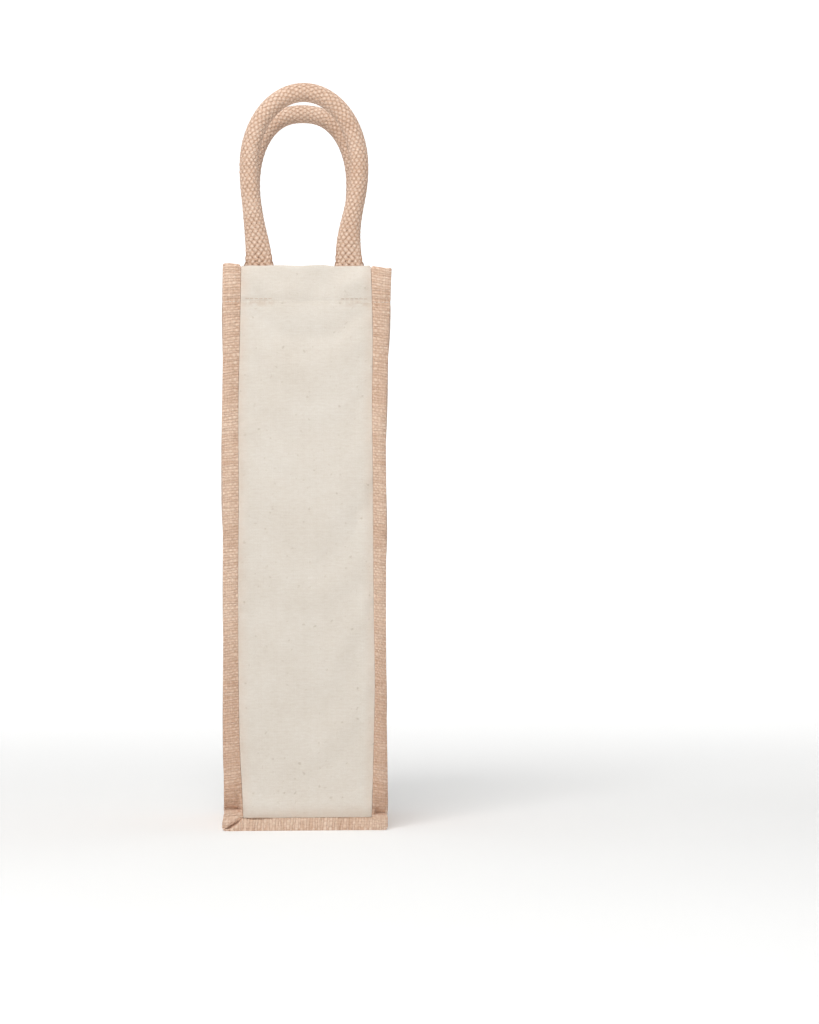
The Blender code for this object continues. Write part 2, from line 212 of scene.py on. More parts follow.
HANG_STEP = 4 * MM
HANG_FRAMES = 32
HANG_LIMIT = 2.5 * MM
HEM_HOLD = 0.3  # how firmly the hem keeps its place, from 0 to 1
SPARE_REACH = 6 * MM  # how far from a seam most of the spare cloth is
HANG = {}  # for each wall, the simulated outward movement on a grid, with the grid's low corner
WALLS = {  # for each wall, its half width, its lower end, its share of spare cloth and its stiffness
    "front": (SEAM, BASE_BORDER, 0.0012, 3),
    "back": (SEAM, BASE_BORDER, 0.0015, 3),
    "left": (HALF_DEPTH, 0, 0.003, 8),
    "right": (HALF_DEPTH, 0, 0.0035, 8),
}
CLOTH = {
    "quality": 8,
    "mass": 0.3,
    "tension_stiffness": 20,
    "compression_stiffness": 20,
    "shear_stiffness": 8,
    "air_damping": 2,
    "vertex_group_mass": "held",
    "pin_stiffness": 2,
    "vertex_group_shrink": "seam",
}


def wall_points(wall, across, z):
    """Points of a wall's middle, across it and at height z."""
    if wall in ("front", "back"):
        return together(across, SIGN[wall] * (HALF_DEPTH - CANVAS_DEPTH), z)
    return together(SIGN[wall] * (HALF_WIDTH - BORDER_DEPTH), across, z)


def hang_wall(wall, half, low, spare, stiffness):
    """Lets one wall hang between its seams, with a little spare cloth, and keeps how far it moved out."""
    across = np.linspace(-half, half, round(2 * half / HANG_STEP) + 1)
    heights = np.linspace(low, RIM, round((RIM - low) / HANG_STEP) + 1)
    x, z = (grid.ravel() for grid in np.meshgrid(across, heights))
    start = warp(wall_points(wall, x, z))
    mesh = bpy.data.meshes.new(f"{wall}_hanging")
    mesh.from_pydata(start, [], grid_faces(len(heights), len(across)).tolist())
    hanging = bpy.data.objects.new(mesh.name, mesh)
    bpy.context.scene.collection.objects.link(hanging)
    sewn = (np.abs(x) > half - 0.1 * MM) | (z < low + 0.1 * MM)
    hold = np.maximum(sewn, HEM_HOLD * smooth(STITCH_Z - 3 * MM, STITCH_Z + 3 * MM, z))
    near_seam = np.exp(-(half - np.abs(x)) / SPARE_REACH)
    for name, weights in (("held", hold), ("seam", near_seam)):
        group = hanging.vertex_groups.new(name=name)
        for i, weight in enumerate(weights):
            group.add([i], float(weight), "REPLACE")
    cloth = hanging.modifiers.new("cloth", "CLOTH")
    settings = cloth.settings
    for name, value in CLOTH.items():
        setattr(settings, name, value)
    settings.bending_stiffness = stiffness
    settings.shrink_min, settings.shrink_max = -spare, 3 * spare
    cloth.collision_settings.use_collision = False
    cloth.point_cache.frame_start, cloth.point_cache.frame_end = 1, HANG_FRAMES
    scene = bpy.context.scene
    for number in range(1, HANG_FRAMES + 1):
        scene.frame_set(number)
    hung = hanging.evaluated_get(bpy.context.evaluated_depsgraph_get()).to_mesh()
    end = np.empty(len(x) * 3)
    hung.vertices.foreach_get("co", end)
    axis = 1 if wall in ("front", "back") else 0
    out = SIGN[wall] * (end.reshape(-1, 3) - start)[:, axis]
    out = HANG_LIMIT * np.tanh(out / HANG_LIMIT)
    HANG[wall] = (-half, low, out.reshape(len(heights), len(across)))
    scene.frame_set(1)
    bpy.data.objects.remove(hanging)
    bpy.data.meshes.remove(mesh)


def hang_at(wall, across, z):
    """The simulated outward movement, smoothly between the grid's points, and none beyond the grid."""
    if wall not in HANG:
        return 0.0
    low_x, low_z, grid = HANG[wall]
    rows, columns = grid.shape
    step_x, step_z = -2 * low_x / (columns - 1), (RIM - low_z) / (rows - 1)
    column, row = (across - low_x) / step_x, (z - low_z) / step_z
    inside = (column > 0) & (column < columns - 1) & (row > 0)
    total = 0.0
    for i, weight_x in spline_weights(column, columns):
        for j, weight_z in spline_weights(row, rows):
            total = total + weight_x * weight_z * grid[j, i]
    return np.where(inside, total, 0)


def spline_weights(place, count):
    """The four grid lines round place, held inside the grid, with their smooth weights."""
    first = np.floor(np.clip(place, 0, count - 1.001)).astype(int)
    t = np.clip(place - first, 0, 1)
    weights = ((1 - t) ** 3, 3 * t**3 - 6 * t**2 + 4, 3 * (1 - t) ** 3 - 6 * (1 - t) ** 2 + 4, t**3)
    return [(np.clip(first + k - 1, 0, count - 1), weight / 6) for k, weight in enumerate(weights)]


def sink(z, lip):
    """How far, from 0 to 1, the borders have sunk in above the base's stiffer corners."""
    fold = BASE_BORDER + lip
    bottom, top = fold + CREASE_START, fold + CREASE_END
    above = np.clip((top - z) / (top - bottom), 0, 1)
    return smooth(fold, bottom, z) * above**1.5


def splay(z):
    return SPLAY * (1 - np.clip(z / BASE_BORDER, 0, 1))


def corner_bulge(z):
    """How far the front's lower left fold stands out to the left of its smooth line."""
    return 0.6 * MM * (1 - smooth(4.5 * MM, 8 * MM, z)) + 0.3 * MM * hump(13 * MM, 4 * MM, z)


def edge_lines(face, side, z):
    """How far an upright fold stands out to its side and to its face at z."""
    out = MM * through(EDGE_X[face, side], HEIGHTS, z)
    if (face, side) == ("front", "left"):
        out = out + corner_bulge(z)
    return out, MM * through(EDGE_Y[face, side], HEIGHTS, z)


def shift_across(x, z, face, left, right):
    """How far a face moves to +X, so that its folds and its seams keep to their lines."""
    bow_left, bow_right = (MM * through(SEAM_BOW[face, word], HEIGHTS, z) for word in ("left", "right"))
    at_seam = np.where(x > 0, bow_right, -bow_left)
    at_edge = np.where(x > 0, right, -left)
    inside = (bow_right + bow_left) / 2 * x / SEAM + (bow_right - bow_left) / 2
    return np.where(np.abs(x) < SEAM, inside, at_seam + (at_edge - at_seam) * border_share(x))


def border_share(x):
    """0 at the seam and in the panel, 1 at the bag's edge."""
    return np.clip((np.abs(x) - SEAM) / SIDE_BORDER, 0, 1)


def hem_relief(face, x, z):
    """How far the hem stands out: more over the handle ends, less at its stitches and at the rim."""
    left, right = TAB_SIZE[face]
    tab = np.where(x > 0, right, left) * hump(TAB_X, 10 * MM, np.abs(x))
    tab = tab * smooth(STITCH_Z, RIM - TAB_FADE, z) * (1 - 0.8 * smooth(RIM - TAB_FADE, RIM, z))
    out = 0.35 * MM * smooth(STITCH_Z, STITCH_Z + 4 * MM, z) + tab
    out = out - 0.3 * MM * hump(STITCH_Z, 2.2 * MM, z)
    return out - 0.4 * MM * smooth(RIM - 4 * MM, RIM, z)


def base_relief(face, x, z, in_panel):
    """How far a face stands out round the base: it splays, its borders crease and swell above the corners,
    the front canvas hangs over the border at one place, and each canvas swells just above it."""
    share = border_share(x)
    lip = np.where((x < 0) & (face == "front"), OPEN_LIP, LIP)
    out = splay(z) - CREASE_DEPTH[face] * sink(z, lip) * smooth(0.02, 0.3, share) * (1 - 0.1 * share)
    out = out + 1.5 * MM * hump(BASE_BORDER + lip + 12 * MM, 6 * MM, z) * smooth(0.1, 0.4, share)
    if face == "front":
        here = hump(OVERHANG_X, 8 * MM, x)
        out = out + 0.9 * MM * hump(BASE_BORDER + 2.2 * MM, 1.6 * MM, z) * here
        out = out - 1.1 * MM * hump(BASE_BORDER - 0.3 * MM, 0.9 * MM, z) * here
    below = 1 - smooth(BASE_BORDER - 1 * MM, BASE_BORDER + 1 * MM, z)
    out = out + 0.8 * MM * smooth(0.1, 0.6, share) * below
    belly = BELLY[face] + 1.2 * MM * smooth(0, -30 * MM, x)
    out = out + belly * hump(BASE_BORDER + 7.5 * MM, 6 * MM, z) * in_panel
    return out - 0.4 * MM * hump(BASE_BORDER + 0.5 * MM, 1.4 * MM, z) * in_panel


def face_move(face, x, z):
    """Movement of the front or back face at x, z: to +X, outwards and up."""
    seed, side = SEED[face], np.abs(x)
    (left_x, left_y), (right_x, right_y) = (edge_lines(face, word, z) for word in ("left", "right"))
    share = border_share(x)
    in_panel = 1 - smooth(SEAM - 1 * MM, SEAM + 1 * MM, side)
    window = 1 - np.clip(side / HALF_WIDTH, 0, 1) ** 10
    tall = smooth(0, 30 * MM, z)
    mix = (x / HALF_WIDTH + 1) / 2
    out = left_y * (1 - mix) + right_y * mix
    # The groove at the seam, the turned edge under the canvas, the border's soft middle, the puckers along
    # the seam, long and short waves, the hang of the cloth, and the fuller lower half.
    out = out - 0.35 * MM * hump(SEAM, 4 * MM, side) * smooth(0, 14 * MM, z)
    out = out + 0.35 * MM * hump(SEAM - 5 * MM, 2.6 * MM, side)
    out = out + 0.6 * MM * np.sin(math.pi * share) * (share > 0)
    out = out + 0.16 * MM * ripple(x, z, 14 * MM, 9 * MM, seed) * hump(SEAM - 2 * MM, 7 * MM, side)
    out = out + 0.4 * MM * ripple(x, z, 60 * MM, 95 * MM, seed + 1) * window * tall
    out = out + 0.14 * MM * ripple(x, z, 26 * MM, 17 * MM, seed + 2) * in_panel * tall
    out = out + hang_at(face, x, z)
    out = out + 1.0 * MM * np.cos(math.pi * x / (2 * HALF_WIDTH)) * hump(0.3 * RIM, 0.25 * RIM, z)
    out = out + hem_relief(face, x, z) + base_relief(face, x, z, in_panel)

    up = 0.25 * MM * ripple(x, 0 * z, 22 * MM, 1, seed + 4)
    if face == "front":  # its left border stands higher than its right one
        up = up + MM * (1.2 * smooth(-36 * MM, -41 * MM, x) - 0.6 * smooth(36 * MM, 41 * MM, x) - 0.4)
    return shift_across(x, z, face, left_x, right_x), out, up * smooth(RIM - RIM_REACH, RIM, z)


def side_move(side, y, z):
    """Movement of the left or right wall at y, z: outwards, to +Y and up."""
    seed, to_fold = SEED[side], np.abs(y) / HALF_DEPTH
    (front_x, front_y), (back_x, back_y) = (edge_lines(face, side, z) for face in ("front", "back"))
    mix = (y / HALF_DEPTH + 1) / 2
    window = 1 - np.clip(to_fold, 0, 1) ** 6
    tall = smooth(0, 70 * MM, z)
    out = front_x * (1 - mix) + back_x * mix
    # The hollow, its middle crease, the creases above the base, waves, the hang and the hem.
    out = out - HOLLOW * np.cos(math.pi * y / (2 * HALF_DEPTH)) ** 2 * tall
    out = out - GUSSET_FOLD * np.exp(-((np.abs(y) / (6 * MM)) ** 1.5)) * tall
    out = out - 1.0 * MM * sink(z, SIDE_LIP) * smooth(0.7, 1, to_fold)
    out = out + 0.4 * MM * ripple(y, z, 55 * MM, 80 * MM, seed) * window * tall
    out = out + hang_at(side, y, z)
    out = out - 0.35 * MM * hump(STITCH_Z, 1.1 * MM, z) + 0.3 * MM * smooth(STITCH_Z, RIM, z)
    move_y = -(front_y + splay(z)) * (1 - mix) + (back_y + splay(z)) * mix
    up = 0.35 * MM * ripple(y, 0 * z, 24 * MM, 1, seed + 1)
    lean = 0.8 if side == "left" else -1.0
    up = up + MM * lean * (1 - smooth(-HALF_DEPTH, -10 * MM, y))
    return out, move_y, up * smooth(RIM - RIM_REACH, RIM, z)


def corner_tuck(x, z):
    """Outward movement at the front's lower left mitre, whose upper layer folds over a narrow gap."""
    along, across = unit(np.array([SIDE_BORDER, BASE_BORDER])), unit(np.array([-BASE_BORDER, SIDE_BORDER]))
    from_corner = x + HALF_WIDTH
    run = from_corner * along[0] + z * along[1]
    off = from_corner * across[0] + z * across[1]
    length = math.hypot(SIDE_BORDER, BASE_BORDER)  # of the mitre, which run follows and off crosses
    here = smooth(0.5 * MM, 5 * MM, run) * (1 - smooth(0.6 * length, 0.98 * length, run))
    gap = TUCK_LIFT * hump(2.2 * MM, 1.5 * MM, off) - TUCK_GAP * hump(-0.2 * MM, 1.15 * MM, off)
    return here * gap - 0.25 * MM * hump(0, 0.6 * MM, off) * (run > 0) * (run < length)


def warp(points):
    """Moves points of the flat-walled bag's cloth to their places on the soft bag. Each wall moves them the
    more, the nearer they are to it."""
    shape = np.shape(points)
    flat = np.array(points, float).reshape(-1, 3)
    x, y, z = flat.T
    z = np.clip(z, 0, RIM)
    total, move = 0, 0
    for face, away in (("front", y + HALF_DEPTH), ("back", HALF_DEPTH - y)):
        along, out, up = face_move(face, x, z)
        if face == "front":
            out = out + corner_tuck(x, z)
        weight = 1 / (np.abs(away) + WALL_SOFT) ** 3
        move = move + weight * np.array([along, SIGN[face] * out, up])
        total = total + weight
    for side, away in (("left", x + HALF_WIDTH), ("right", HALF_WIDTH - x)):
        out, along, up = side_move(side, y, z)
        weight = 1 / (np.abs(away) + WALL_SOFT) ** 3
        move = move + weight * np.array([SIGN[side] * out, along, up])
        total = total + weight
    return (flat + (move / total).T).reshape(shape)


# ---- meshes


def link(name, mesh, made_of):
    made = bpy.data.objects.new(name, mesh)
    bpy.context.scene.collection.objects.link(made)
    mesh.materials.append(made_of)
    return made


def grid_faces(rows, columns, first=0, closed=False):
    index = np.arange(rows * columns).reshape(rows, columns) + first
    after = np.roll(index, -1, axis=1) if closed else index[:, 1:]
    before = index if closed else index[:, :-1]
    return np.stack([before[:-1], after[:-1], after[1:], before[1:]], -1).reshape(-1, 4)


class Sheet:
    """Grids of points that meet along their edges, each with its place on the flat cloth."""

    def __init__(self):
        self.points, self.faces, self.flat, self.count = [], [], [], 0

    def add(self, points, flat):
        rows, columns = points.shape[:2]
        self.faces.append(grid_faces(rows, columns, self.count))
        self.points.append(points.reshape(-1, 3))
        self.flat.append(np.asarray(flat).reshape(-1, 2))
        self.count += rows * columns

    def make(self, name, thickness, made_of):
        faces = np.concatenate(self.faces)
        flat = np.concatenate(self.flat)
        mesh = bpy.data.meshes.new(name)
        mesh.from_pydata(warp(np.concatenate(self.points)), [], faces.tolist())
        cloth = mesh.uv_layers.new(name="Cloth")
        cloth.data.foreach_set("uv", flat[faces.reshape(-1)].reshape(-1))
        builder = bmesh.new()
        builder.from_mesh(mesh)
        bmesh.ops.remove_doubles(builder, verts=builder.verts, dist=0.00002)
        bmesh.ops.recalc_face_normals(builder, faces=builder.faces)
        builder.to_mesh(mesh)
        builder.free()
        made = link(name, mesh, made_of)
        thick = made.modifiers.new("thickness", "SOLIDIFY")
        thick.thickness = thickness
        thick.offset = 0
        thick.use_quality_normals = True
        apply_modifiers(made)
        made.data.shade_smooth()
        return made


def apply_modifiers(made):
    graph = bpy.context.evaluated_depsgraph_get()
    mesh = bpy.data.meshes.new_from_object(made.evaluated_get(graph))
    made.modifiers.clear()
    made.data = mesh


# ---- materials

# From dark to light, each a place from 0 to 1 and its colour in screen values.
JUTE_TONES = [
    (0.1, (184, 143, 117)),
    (0.4, (210, 174, 149)),
    (0.62, (221, 188, 164)),
    (0.95, (239, 213, 192)),
]
CANVAS_TONES = [
    (0.0, (202, 190, 174)),
    (0.4, (224, 214, 201)),
    (0.65, (231, 223, 212)),
    (1.0, (241, 235, 227)),
]
JUTE_YARN = [
    (0.12, (150, 110, 85)),
    (0.4, (193, 155, 129)),
    (0.62, (213, 179, 155)),
    (0.95, (239, 215, 196)),
]
SEWING_THREAD = [(0.05, (224, 210, 194)), (0.25, (234, 224, 211)), (0.8, (243, 237, 229))]
TACK_THREAD = [(0.05, (196, 168, 148)), (0.4, (214, 190, 171)), (0.8, (226, 206, 190))]
COTTON_CORD = [(0.15, (206, 196, 180)), (0.5, (228, 220, 207)), (0.9, (242, 237, 228))]
PAPER = [(0.3, (229, 229, 228)), (0.7, (233, 233, 232))]
# painted shade in the gaps between the jute's threads
JUTE_GAP_SHADE = (200, 162, 137)
JUTE_LOW_SHADE = (180, 130, 101)  # painted shade: darker and redder above the base, where less light falls
# painted shade with a painted pink reflection of the jute, on the canvas beside its seams
CANVAS_SEAM_SHADE = (221, 194, 173)
CANVAS_RUBBED = (204, 180, 158)  # over the handle ends
THREAD_POWER = 0.55  # below 1 for threads with steep sides
THREAD_DIP = 0.42  # how far the upright threads dip under the level ones


class Finish:
    """A Principled material, with short calls for its nodes."""

    def __init__(self, name, roughness, sheen=0.0):
        self.material = bpy.data.materials.new(name)
        self.material.use_nodes = True
        self.tree = self.material.node_tree
        self.shader = self.tree.nodes["Principled BSDF"]
        self.shader.inputs["Roughness"].default_value = roughness
        self.shader.inputs["Sheen Weight"].default_value = sheen
        self.shader.inputs["Sheen Roughness"].default_value = 0.6
        self.shader.inputs["Specular IOR Level"].default_value = 0.25

    def node(self, kind, inputs, **settings):
        made = self.tree.nodes.new(kind)
        for name, value in settings.items():
            setattr(made, name, value)
        for socket, value in inputs.items():
            if isinstance(value, bpy.types.NodeSocket):
                self.tree.links.new(value, made.inputs[socket])
            else:
                made.inputs[socket].default_value = value
        return made

    def math(self, operation, a, b=0.0, c=0.0):
        return self.node("ShaderNodeMath", {0: a, 1: b, 2: c}, operation=operation).outputs[0]

    def uv(self, name="Cloth"):
        place = self.node("ShaderNodeUVMap", {}, uv_map=name)
        parts = self.node("ShaderNodeSeparateXYZ", {0: place.outputs[0]})
        return parts.outputs[0], parts.outputs[1]

    def noise(self, x, y, z=0.0, scale=1.0, detail=2.0, roughness=0.5):
        """Noise from about 0 to 1. On a flat cloth, z only sets two patterns apart."""
        place = self.node("ShaderNodeCombineXYZ", {0: x, 1: y, 2: z})
        inputs = {"Vector": place.outputs[0], "Scale": scale, "Detail": detail, "Roughness": roughness}
        return self.node("ShaderNodeTexNoise", inputs).outputs[0]

    def chance(self, value):
        """A random number from 0 to 1 for each whole value."""
        return self.node("ShaderNodeTexWhiteNoise", {"W": value}, noise_dimensions="1D").outputs[0]

    def mix(self, share, a, b):
        """Between two numbers."""
        return self.node("ShaderNodeMix", {0: share, 2: a, 3: b}, data_type="FLOAT").outputs[0]

    def weighted(self, start, *terms):
        """start, plus for each (socket, weight) the weight times the socket's distance from one half."""
        for socket, weight in terms:
            start = self.math("MULTIPLY_ADD", self.math("SUBTRACT", socket, 0.5), weight, start)
        return start

    def step(self, low, high, value):
        """0 below low, 1 above high, and smooth between."""
        inputs = {"Value": value, "From Min": low, "From Max": high}
        return self.node("ShaderNodeMapRange", inputs, interpolation_type="SMOOTHSTEP").outputs[0]

    def fade(self, low, high, value):
        """1 below low, 0 above high, and smooth between."""
        return self.math("SUBTRACT", 1.0, self.step(low, high, value))

    def blend(self, share, screen_colour, colour):
        """From a colour in screen values at 0 to the socket's colour at 1."""
        inputs = {0: share, 6: (*linear(screen_colour), 1), 7: colour}
        return self.node("ShaderNodeMix", inputs, data_type="RGBA").outputs[2]

    def tint(self, place, most, screen_colour, colour):
        """The socket's colour, with up to most of another colour where place is 1."""
        return self.blend(self.math("MULTIPLY_ADD", place, -most, 1.0), screen_colour, colour)

    def ramp(self, value, tones):
        made = self.node("ShaderNodeValToRGB", {0: value})
        elements = made.color_ramp.elements
        while len(elements) < len(tones):
            elements.new(0.5)
        for element, (place, colour) in zip(elements, tones):
            element.position = place
            element.color = (*linear(colour), 1)
        return made.outputs[0]

    def colour(self, socket):
        self.tree.links.new(socket, self.shader.inputs["Base Color"])

    def bump(self, height, distance, strength=1.0):
        made = self.node("ShaderNodeBump", {"Height": height, "Distance": distance, "Strength": strength})
        self.tree.links.new(made.outputs[0], self.shader.inputs["Normal"])


def linear(colour):
    """From 0 to 255 screen values to linear light."""
    share = np.array(colour, float) / 255
    return tuple(np.where(share <= 0.04045, share / 12.92, ((share + 0.055) / 1.055) ** 2.4))


def plain_weave(finish, across, along, wander, slant, ribs, dip):
    """A plain weave on the flat cloth, whose level threads stand ribs times as high and dip by dip. Returns
    its height, a random number for each thread and each place where it shows, and its fibres' streaks."""
    m = finish.math
    flat_u, flat_v = finish.uv()
    u, v = m("DIVIDE", flat_u, across), m("DIVIDE", m("MULTIPLY_ADD", flat_u, slant, flat_v), along)
    u_far, v_far = m("MULTIPLY", u, 0.16), m("MULTIPLY", v, 0.16)
    u = m("MULTIPLY_ADD", finish.noise(u, v_far), wander, u)
    v = m("MULTIPLY_ADD", finish.noise(u_far, v, 7.3), wander, v)
    wave_u, wave_v = (m("SINE", m("MULTIPLY", t, math.pi)) for t in (u, v))
    size_u, size_v = m("ABSOLUTE", wave_u), m("ABSOLUTE", wave_v)
    over_u = m("MULTIPLY", wave_v, m("SIGN", wave_u))
    over_v = m("MULTIPLY", wave_u, m("SIGN", wave_v))
    plump_u = m("MULTIPLY_ADD", finish.noise(u, m("MULTIPLY", v, 0.25), 2.6), 0.5, 0.75)
    plump_v = m("MULTIPLY_ADD", finish.noise(m("MULTIPLY", u, 0.25), v, 5.9), 0.5, 0.75)
    upright_lift = m("MULTIPLY_ADD", over_u, THREAD_DIP, 1 - THREAD_DIP)
    upright = m("MULTIPLY", m("POWER", size_u, THREAD_POWER), upright_lift)
    level_lift = m("MULTIPLY_ADD", over_v, -dip, 1 - dip)
    level = m("MULTIPLY", m("POWER", size_v, THREAD_POWER), level_lift)
    upright, level = m("MULTIPLY", upright, plump_u), m("MULTIPLY", m("MULTIPLY", level, plump_v), ribs)
    top = m("GREATER_THAN", upright, level)
    height = m("MAXIMUM", upright, level)
    thread_u = finish.chance(m("FLOOR", u))
    thread_v = finish.chance(m("ADD", m("FLOOR", v), 431.0))
    thread = finish.mix(top, thread_v, thread_u)
    place = finish.chance(m("MULTIPLY_ADD", m("FLOOR", u), 57.0, m("FLOOR", v)))
    fibres_u = finish.noise(m("MULTIPLY", u, 7.0), m("MULTIPLY", v, 0.8), 1.7, detail=3.0)
    fibres_v = finish.noise(m("MULTIPLY", u, 0.8), m("MULTIPLY", v, 7.0), 4.1, detail=3.0)
    fibres = finish.mix(top, fibres_v, fibres_u)
    return height, thread, place, fibres


def jute_finish():
    finish = Finish("jute_weave", 0.9, sheen=0.15)
    weave = plain_weave(finish, across=1.7 * MM, along=1.7 * MM, wander=1.7, slant=0.1, ribs=1.6, dip=0.26)
    height, thread, place, fibres = weave
    flat_u, flat_v = finish.uv()
    patches = finish.noise(flat_u, flat_v, scale=45.0, detail=3.0)
    flecks = finish.noise(flat_u, flat_v, 3.0, scale=420.0, detail=2.0)
    # The height term paints shade: the yarn's tone is darker where the threads lie lower, and the gaps get
    # a painted shade colour.
    terms = (height, 0.4), (thread, 0.22), (place, 0.12), (fibres, 0.6), (patches, 0.5), (flecks, 0.45)
    yarn = finish.ramp(finish.weighted(0.45, *terms), JUTE_TONES)
    colour = finish.blend(finish.step(0.0, 0.6, height), JUTE_GAP_SHADE, yarn)
    # Painted shade: the jute is tinted darker and redder from just above the base up to its middle, where
    # less light falls.
    above_base, below_middle = finish.step(6 * MM, 16 * MM, flat_v), finish.fade(40 * MM, 150 * MM, flat_v)
    low = finish.math("MULTIPLY", above_base, below_middle)
    finish.colour(finish.tint(low, 0.24, JUTE_LOW_SHADE, colour))
    finish.bump(finish.weighted(0.0, (height, 1.0), (fibres, 0.3), (flecks, 0.3)), 0.38 * MM)
    return finish.material


def canvas_finish():
    finish = Finish("canvas_weave", 0.88, sheen=0.1)
    m = finish.math
    weave = plain_weave(finish, across=0.5 * MM, along=0.46 * MM, wander=0.5, slant=0.0, ribs=1.0, dip=0.42)
    height, thread, place, _ = weave
    flat_u, flat_v = finish.uv()
    slubs = finish.noise(flat_u, m("MULTIPLY", flat_v, 3.5), scale=240.0, detail=2.0)
    patches = finish.noise(flat_u, flat_v, scale=30.0, detail=4.0, roughness=0.6)
    neps = finish.step(0.66, 0.8, finish.noise(flat_u, flat_v, 5.0, scale=330.0, detail=1.0))
    # The height term paints shade: the canvas is darker where its threads lie lower.
    terms = (height, 0.25), (thread, 0.08), (place, 0.12), (slubs, 0.4), (patches, 0.5)
    tone = m("MULTIPLY_ADD", neps, -0.3, finish.weighted(0.5, *terms))
    colour = finish.ramp(tone, CANVAS_TONES)

    mottle = finish.noise(flat_u, flat_v, 8.0, scale=180.0, detail=2.0)
    # Painted shade and painted reflection of the jute: the canvas is darker and pinker beside the side
    # seams and just above the base's seam, where it turns into the groove.
    from_middle = m("ABSOLUTE", flat_u)
    beside_seam = finish.step(SEAM_X - 7 * MM, SEAM_X + 1 * MM, from_middle)
    above_seam = finish.fade(SEAM_Z - 2 * MM, SEAM_Z + 9 * MM, flat_v)
    seam_shade = m("MULTIPLY", m("MAXIMUM", beside_seam, above_seam), m("MULTIPLY_ADD", mottle, 0.8, 0.1))
    colour = finish.tint(seam_shade, 0.6, CANVAS_SEAM_SHADE, colour)
    over_end = finish.fade(6 * MM, 11 * MM, m("ABSOLUTE", m("SUBTRACT", from_middle, TAB_X)))
    at_row = finish.fade(0.6 * MM, 3.2 * MM, m("ABSOLUTE", m("SUBTRACT", flat_v, STITCH_Z - 1.5 * MM)))
    rubbed = m("MULTIPLY", m("MULTIPLY", over_end, at_row), finish.step(0.42, 0.62, mottle))
    finish.colour(finish.tint(rubbed, 0.4, CANVAS_RUBBED, colour))
    finish.bump(finish.weighted(0.0, (height, 1.0), (slubs, 0.8), (neps, 1.5)), 0.12 * MM)
    return finish.material


def yarn_finish(name, ply, tones, relief):
    """Twisted yarn, with ply as the length of one turn of its strands. The mesh's lift attribute is 1 where
    it stands proud of its neighbours; its colour paints a highlight there and shade where it is 0."""
    finish = Finish(name, 0.88, sheen=0.2)
    m = finish.math
    along, around = finish.uv("Yarn")
    twist = m("MULTIPLY_ADD", along, 1 / ply, around)
    plies = m("ABSOLUTE", m("SINE", m("MULTIPLY", twist, math.pi)))
    fibres = finish.noise(m("MULTIPLY", along, 320.0), m("MULTIPLY", around, 5.0), detail=3.0)
    place = finish.node("ShaderNodeTexCoord", {}).outputs["Object"]
    parts = finish.node("ShaderNodeSeparateXYZ", {0: place})
    patches = finish.noise(*parts.outputs, scale=70.0)
    lift = finish.node("ShaderNodeAttribute", {}, attribute_name="lift").outputs["Fac"]
    # Painted highlight and painted shade: the lift term lightens the yarns' crowns and darkens their
    # crevices.
    tone = finish.weighted(0.62, (lift, 0.55), (plies, 0.06), (fibres, 0.3), (patches, 0.35))
    finish.colour(finish.ramp(tone, tones))
    finish.bump(finish.weighted(0.0, (plies, 0.8), (fibres, 0.7)), relief)
    return finish.material


# ---- the canvas panels

CANVAS_SPACING = 1.25 * MM  # between the points of its grid
CANVAS_HEM_FOLD = 0.55 * MM  # height of the fold over the hem
ALLOWANCE_LOW = 2.4 * MM  # where the turned edge under the base's border ends
ALLOWANCE_DROP = 2.2 * MM  # how far below the rim the turned edges at the sides end


def on_face(face, x, depth, z):
    """A grid on the front or back face, depth below it."""
    return together(x, SIGN[face] * (HALF_DEPTH - depth), z)


def hem_rows(outer, inner, lift, bottom, count, fold_steps=5):
    """Rows of points that go from the outer row over a fold to the inner one and down from there."""
    rows = [outer]
    for step in range(1, fold_steps):
        a = math.pi * step / fold_steps
        row = outer + (inner - outer) * (1 - math.cos(a)) / 2
        row[:, 2] += lift * math.sin(a)
        rows.append(row)
    rows.append(inner)
    for step in range(1, count + 1):
        row = inner.copy()
        row[:, 2] += (bottom - row[:, 2]) * step / count
        rows.append(row)
    return np.array(rows)


